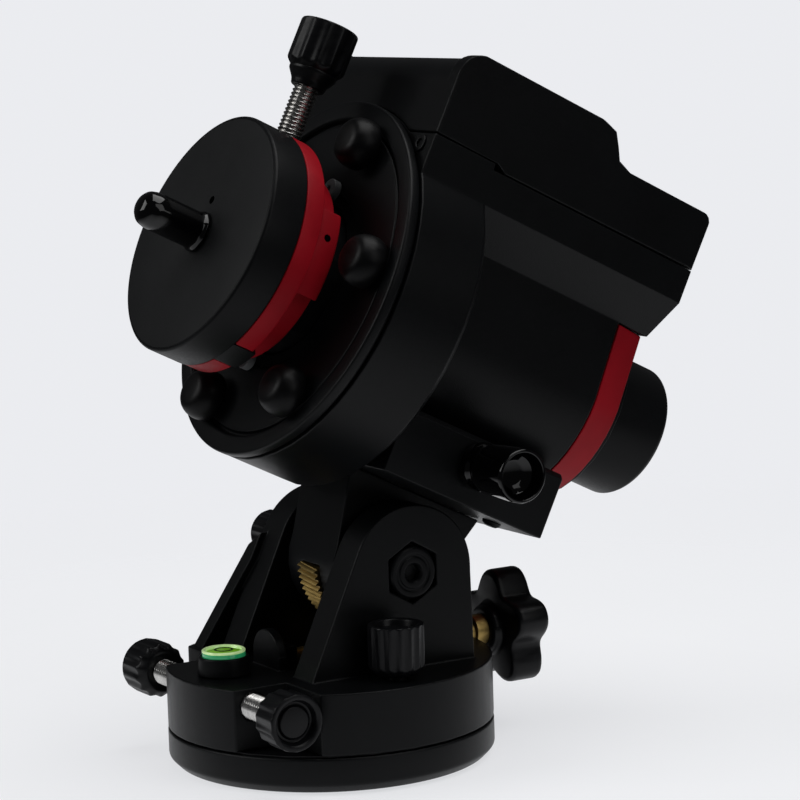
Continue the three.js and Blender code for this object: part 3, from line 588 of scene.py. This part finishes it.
def pivot_bolt():
    """A cap screw with a small hexagonal socket in a turned face."""
    low, top = extent("pivot_bolt", 0)
    socket = 2.6
    profile = [(0, low), (4, low), (4, top - 3.9), (7.8, top - 3.9), (7.8, top - 0.5), (7.2, top)]
    profile += [(5.9, top), (5.6, top - 0.35), (4.9, top - 0.35), (4.6, top)]
    profile += [(socket + 0.6, top), (socket, top - 0.6), (socket, top - 3), (0, top - 3)]

    def hexagon(angle, r, z):
        corner = (angle + math.pi / 6) % (math.pi / 3) - math.pi / 6
        return r / math.cos(corner) * 0.95 if 0 < r <= socket + 0.01 and z > top - 3.2 else r

    where = BASE @ Matrix.Translation((0, PIVOT.y, PIVOT.z)) @ TO_X
    place("pivot_bolt_head", turned(profile, 0.2, FINE, hexagon), "pivot_bolt", where)


def altitude_drive():
    where = BASE @ Matrix.Translation((0, 0, WORM_Z)) @ TO_Y
    front, rear = extent("altitude_worm", 1)
    hub_front, hub_rear = 51, 57
    shaft = [(0, front), (3.5, front), (3.5, hub_front), (5, hub_front)]
    shaft += [(5, hub_rear), (3.2, hub_rear), (3.2, rear), (0, rear)]
    place("altitude_shaft", turned(shaft, 0.25), "altitude_worm", where)
    place("altitude_thread", threaded(6.7, 4, -1, 24, 1.4, 48, 16), "altitude_worm", where)
    star = "altitude_star_knob"
    place("altitude_star_grip", star_knob(*extent(star, 1)), star, where)


def star_knob(front, back):
    """Five broad lobes with rounded rims on a round hub."""
    radius, depth, lobes, hub, phase = 18.6, 5.4, 5, 8, math.pi / 2
    face, hub_front = front + 1, front - 2.2
    profile = [(0, hub_front), (hub - 0.6, hub_front), (hub, face), (radius, face)]
    profile += [(radius, back), (hub + 0.5, back), (hub - 0.4, back - 1.2), (0, back - 1)]

    def lobe(angle, r, z):
        wave = (1 - math.cos(lobes * (angle + phase))) / 2
        share = max(0.0, (r - hub) / (radius - hub))
        return r - depth * share * wave**1.2

    return turned(profile, 2.0, FINE * 2, lobe)


# ------------------------------------------------------------------ head
def sector():
    """Slanting teeth across the edge of the tilt sector."""
    node = "altitude_sector"
    circle, shown_teeth, start = 66, 24, math.radians(115.5)
    slant, half, per_tooth, layers = 0.006, 5.0, 6, 8
    tip, depth, inner, inner_steps = PIVOT.z - WORM_Z - 7.0, 1.4, 12.3, 12
    pitch = 2 * math.pi / circle
    sweep = (shown_teeth - 0.5) * pitch
    rows = []
    for layer in range(layers + 1):
        x = -half + 2 * half * layer / layers
        polar = []
        for i in range(round((shown_teeth - 0.5) * per_tooth) + 1):
            share = (i % per_tooth) / per_tooth
            polar.append((tip - depth * min(1, abs(share - 0.45) * 3.2), i * pitch / per_tooth))
        polar += [(inner, sweep * (1 - i / inner_steps)) for i in range(inner_steps + 1)]
        turned_by = start + slant * x
        around = [(r, a + turned_by) for r, a in polar]
        rows.append([(x, r * math.cos(a), r * math.sin(a)) for r, a in around])
    pivot = HEAD.inverted() @ joint_point("latitude_tilt")
    where = HEAD @ Matrix.Translation((0, pivot.y, pivot.z))
    place("sector_teeth", finished(grid(rows)), node, where)


def front_cover():
    hub, back, face, groove_r, deep = 24.6, COVER_BACK, COVER_FACE, 51, 2.2
    rim = [(hub, back), (COVER_R - 1, back), (COVER_R - 1, back + 0.9), (COVER_R, back + 1.1)]
    groove = [(COVER_R, face), (groove_r, face)]
    groove += [(groove_r - 0.3, face - deep), (groove_r - 1.3, face - deep)]
    floor = [(groove_r - 1.6, face - 0.9), (hub + 5, face - 0.9)]
    floor += [(hub + 4, face - 1.6), (hub, face - 1.6)]
    place("front_flange", turned(rim + groove + floor, 0.9, 192), "front_cover", HEAD)


def bumpers():
    """Short rubber posts with domed tops."""
    for index in range(1, 7):
        node = f"bumper_{index}"
        centre = [middle(node, axis, HEAD) for axis in (0, 1)]
        low, high = head_extent(node, 2)
        tall = high - low
        profile = [(0, 0), (7.7, 0), (7.9, tall * 0.55), (5.8, tall * 0.94), (0, tall)]
        where = HEAD @ Matrix.Translation((*centre, low))
        place(f"bumper_post_{index}", turned(profile, 3.2, 64), node, where)


def cover_pegs():
    for index in (1, 2):
        node = f"cover_screw_{index}"
        centre = [middle(node, axis, HEAD) for axis in (0, 1)]
        low, high = head_extent(node, 2)
        radius, hole, deep = 3.4, 0.9, 0.8
        side = [(0, low), (radius, low), (radius, high), (hole, high)]
        peg = turned(side + [(hole - 0.1, high - deep), (0, high - deep)], 0.4)
        place(f"cover_peg_{index}", peg, node, HEAD @ Matrix.Translation((*centre, 0)))


def polar_cap():
    back, radius = CAP_BACK, CAP_R - 0.15
    profile = [(0, back + 0.9), (radius - 3.4, back + 0.9), (radius - 2.6, back + 0.2)]
    profile += [(radius - 1, back + 0.2), (radius, back + 1.6), (radius, CAP_FRONT)]
    profile += [(radius - 2.4, CAP_FRONT), (radius - 2.4, back + 3.2), (0, back + 3.2)]
    place("polar_cap_shell", turned(profile, 0.6), "polar_cap", HEAD)


def saddle_clamp():
    """A dipped vinyl cup with a thin rim on a short collar."""
    node = "saddle_clamp_knob"
    point = HEAD.inverted() @ joint_point("saddle_clamp_turn")
    where = HEAD @ Matrix.Translation((0, point.y, point.z)) @ TO_X
    low, high = extent(node, 0)
    wide = 8.2
    profile = [(0, low), (3, low), (3, 37.5), (6.4, 37.5), (7.5, 38.6), (7.5, 41.2), (6.3, 43)]
    profile += [(wide - 0.4, 46), (wide, high - 0.9), (wide - 0.4, high), (wide - 1.2, high)]
    profile += [(wide - 1.8, high - 5), (4, high - 6.5), (0, high - 7)]
    place("saddle_clamp_grip", turned(profile, 0.6), node, where)


def box_boss():
    """A small ring-shaped boss low on the front of the electronics box."""
    ring = turned([(1.3, 0), (2.7, 0), (2.7, 0.7), (1.3, 0.7)], 0.25, COARSE)
    detail("box_boss", ring, "main_housing", HEAD @ Matrix.Translation((36.5, 46.2, 44.2)))


def saddle_screw():
    """A button screw under the rear of the saddle."""
    head = turned([(0, -1), (3, -1), (3, 0.6), (1.8, 1.5), (0, 1.6)], 0.4, COARSE)
    down = Matrix.Rotation(math.pi / 2, 4, "X")
    where = HEAD @ Matrix.Translation((24, head_extent("saddle", 1)[0], -34)) @ down
    detail("saddle_screw", head, "saddle", where, MATERIALS["satin_black"])


# ------------------------------------------------------------------ camera end
LUGS = ((90, 21), (212, 15), (302, 15))
PAD_ANGLES = (8, 172)


def camera_block():
    """A thick disc with a face plate painted lighter for the light that falls on it, and three lugs that grip the
    clutch ring.
    """
    node = "camera_block"
    back, face, rim = BLOCK_BACK, BLOCK_FACE, BLOCK_R - 1
    side = [(0, back), (BLOCK_R, back), (BLOCK_R, face - 0.6), (BLOCK_R - 0.6, face)]
    side += [(rim, face), (rim - 0.15, face - 0.2), (0, face - 0.2)]
    place("camera_disc", turned(side, 0.35, 192), node, HEAD)
    inner, outer, low, high = 4.8, rim - 0.1, face - 0.19, face - 0.02
    plate = [(inner, low), (outer, low), (outer, high), (inner, high)]
    place("camera_disc_face", turned(plate, 0.06, 192), node, HEAD, BLOCK_FACE_LIT_COPY)
    # The set screw hole is a thin near-black disc of painted shadow.
    hole = turned([(0, -0.1), (1.25, -0.1), (1.25, 0.01), (0, 0.01)], 0.02, COARSE)
    where = HEAD @ Matrix.Translation((0, 10.4, high))
    detail("camera_set_screw_hole_shadow", hole, node, where, HOLE_PAINTED_SHADOW)
    for index, (angle, width) in enumerate(LUGS, 1):
        lug = arc_band(27, BLOCK_R - 0.1, 63, back + 0.3, angle - width / 2, angle + width / 2)
        place(f"camera_lug_{index}", lug, node, HEAD)


def clutch_ring():
    """Three arcs between the block's lugs, a narrower tail behind them, and two grip pads."""
    node = "clutch_ring"
    step, gap, pad_r, half_angle = 64.4, 0.7, 34.6, 22.5
    starts = [angle + width / 2 + gap for angle, width in LUGS]
    ends = [angle - width / 2 - gap for angle, width in LUGS[1:] + LUGS[:1]]
    for index, (start, end) in enumerate(zip(starts, ends), 1):
        stop = end if end > start else end + 360
        band = arc_band(27, BLOCK_R - 0.2, step, BLOCK_BACK - 0.3, start, stop)
        place(f"clutch_band_{index}", band, node, HEAD)
    low = head_extent(node, 2)[0]
    tail = [(24.6, low), (29.5, low), (29.5, step + 0.6), (24.6, step + 0.6)]
    place("clutch_tail", turned(tail, 0.4), node, HEAD)
    for index, angle in enumerate(PAD_ANGLES, 1):
        turn = Matrix.Rotation(math.radians(angle), 4, "Z")
        pad = arc_band(27, pad_r, low + 1.1, step + 0.5, -half_angle, half_angle, 0.8)
        place(f"clutch_pad_{index}", pad, node, HEAD @ turn)
        # Each pin hole is a thin near-black disc of painted shadow.
        hole = turned([(0, 0), (1.1, 0), (1.1, 0.05), (0, 0.05)], 0.02, COARSE)
        up = Matrix.Rotation(math.radians(8), 4, "Z")
        side = Matrix.Translation((pad_r - 0.02, 0, low + 5)) @ TO_X
        detail(f"clutch_pin_hole_shadow_{index}", hole, node, HEAD @ turn @ up @ side, HOLE_PAINTED_SHADOW)


def camera_stud():
    low, high = head_extent("camera_stud", 2)
    pitch = 25.4 / 16
    place("stud_thread", threaded(4.4, pitch, low, high, 0.8), "camera_stud", HEAD)


def stud_cap():
    """A dipped sleeve: a lumpy bead at its foot, a straight wall and a round closed end."""
    low, high = STUD_CAP_S
    high -= 0.15
    wall, bore, inside = 5.7, 4.8, 98
    profile = [(0, inside), (bore, inside), (bore, low), (6.3, low), (6.5, low + 0.7)]
    profile += [(wall, low + 2.1), (wall, high - 5), (wall - 0.7, high - 2.2)]
    profile += [(wall - 2.6, high - 0.5), (0, high)]

    def lumps(angle, r, z):
        near = max(0.0, 1 - abs(z - low - 0.6) / 1.8) if r > bore + 0.1 else 0.0
        return r - near * 0.35 * (1 + math.sin(3 * angle + 1) * math.cos(5 * angle)) / 2

    place("stud_sleeve", turned(profile, 0.9, FINE, lumps), "stud_cap", HEAD)


def clutch_screw():
    where = HEAD @ Matrix.Translation((0, 0, CLUTCH_SCREW_S)) @ TO_Y
    low, high = head_extent("clutch_screw", 1)
    thread = threaded(M8_RADIUS, M8_PITCH, low, high, M8_DEPTH)
    place("clutch_thread", thread, "clutch_screw", where)
    node = "clutch_knob"
    base, top = head_extent(node, 1)
    tall = 15.5
    foot = top - tall
    collar = [(0, base), (5.1, base), (5.6, base + 1.8), (7.4, foot), (7.4, foot + 1), (0, foot + 1)]
    place("clutch_collar", turned(collar, 0.5), node, where)
    place("clutch_grip", hand_knob(9, tall, 12), node, where @ Matrix.Translation((0, 0, foot)))


# ------------------------------------------------------------------ stage, light and camera
def backdrop():
    """A pale round sheet that thins out towards its rim."""
    bm = bmesh.new()
    bmesh.ops.create_circle(bm, cap_ends=True, segments=96, radius=0.9)
    mesh = bpy.data.meshes.new("floor")
    bm.to_mesh(mesh)
    bm.free()
    floor = bpy.data.objects.new("floor", mesh)
    floor.location.z = -0.0003
    g = Graph("floor")
    colour = g.mix(g.spread(g.noise(0.004), 0, 1), rgb(0.28, 0.283, 0.285), rgb(0.31, 0.312, 0.315))
    reach = g.add("ShaderNodeVectorMath", {"operation": "LENGTH"})
    g.put(reach.inputs[0], g.place)
    solid = g.spread(reach.outputs["Value"], 1.0, 0.0, 0.16, 0.5)
    mesh.materials.append(
        g.finish(
            Base_Color=colour,
            Roughness=0.75,
            Specular_IOR_Level=0.1,
            Emission_Color=rgb(0.96, 0.97, 1.0),
            Emission_Strength=0.66,
            Alpha=solid,
        )
    )
    bpy.context.scene.collection.objects.link(floor)


def softbox(name, location, size, power):
    target = Vector((0, 0, 0.12))
    light = bpy.data.lights.new(name, "AREA")
    light.shape = "RECTANGLE"
    light.size, light.size_y = size
    light.energy = power
    lamp = bpy.data.objects.new(name, light)
    lamp.location = location
    lamp.rotation_mode = "QUATERNION"
    lamp.rotation_quaternion = (target - Vector(location)).to_track_quat("-Z", "Y")
    bpy.context.scene.collection.objects.link(lamp)


def lighting():
    """A bright surround that the camera sees, a dim one that lights, and three softboxes."""
    world = bpy.data.worlds.new("studio")
    world.use_nodes = True
    nodes, links = world.node_tree.nodes, world.node_tree.links
    nodes["Background"].inputs["Color"].default_value = rgb(0.955, 0.965, 1.0)
    seen = nodes.new("ShaderNodeLightPath").outputs["Is Camera Ray"]
    strength = nodes.new("ShaderNodeMapRange")
    strength.inputs["To Min"].default_value = 0.05
    strength.inputs["To Max"].default_value = 0.87
    links.new(seen, strength.inputs["Value"])
    links.new(strength.outputs["Result"], nodes["Background"].inputs["Strength"])
    bpy.context.scene.world = world
    softbox("overhead", (0.15, 0.25, 1.15), (1.0, 0.9), 9)
    softbox("left", (-0.35, -1.0, 0.75), (0.8, 0.7), 6)
    softbox("right", (1.15, 0.35, 0.65), (0.6, 0.8), 2)


# Angles in degrees, the distance in metres, the lens and sensor in millimetres.
CAMERA = {"azimuth": 59.16, "elevation": 7.97, "roll": 1.86, "distance": 0.9407, "lens": 139.86}
SENSOR = 36
TARGET = BASE @ Vector((12.43, 20.82, 108.65)) * MM


def camera():
    """Looks at TARGET from an azimuth and elevation, rolled a little about the line of sight."""
    a, e, r = (math.radians(CAMERA[key]) for key in ("azimuth", "elevation", "roll"))
    back = Vector((math.sin(a) * math.cos(e), -math.cos(a) * math.cos(e), math.sin(e)))
    level = Vector((math.cos(a), math.sin(a), 0))
    up = back.cross(level)
    right = level * math.cos(r) - up * math.sin(r)
    up = up * math.cos(r) + level * math.sin(r)
    data = bpy.data.cameras.new("camera")
    data.lens = CAMERA["lens"]
    data.sensor_width = SENSOR
    thing = bpy.data.objects.new("camera", data)
    thing.matrix_world = basis(right, up, back, TARGET + back * CAMERA["distance"])
    bpy.context.scene.collection.objects.link(thing)
    bpy.context.scene.camera = thing


# ------------------------------------------------------------------ everything together
for cad_node, thing in frame["nodes"].items():
    thing.data.materials.clear()
    thing.data.materials.append(of_slot(cad_node))

for cad_node in "azimuth_base tilt_bracket saddle main_housing rear_ring rear_plate".split():
    casting(cad_node)
casting("top_cover", edge=0.6, shortest=9)

tripod_plate()
level()
push_screws()
lock_knob()
latitude_lock()
pivot_bolt()
altitude_drive()
sector()
front_cover()
bumpers()
cover_pegs()
polar_cap()
saddle_clamp()
box_boss()
saddle_screw()
camera_block()
clutch_ring()
camera_stud()
stud_cap()
clutch_screw()
backdrop()
lighting()
camera()
bpy.context.scene.view_settings.view_transform = "Standard"
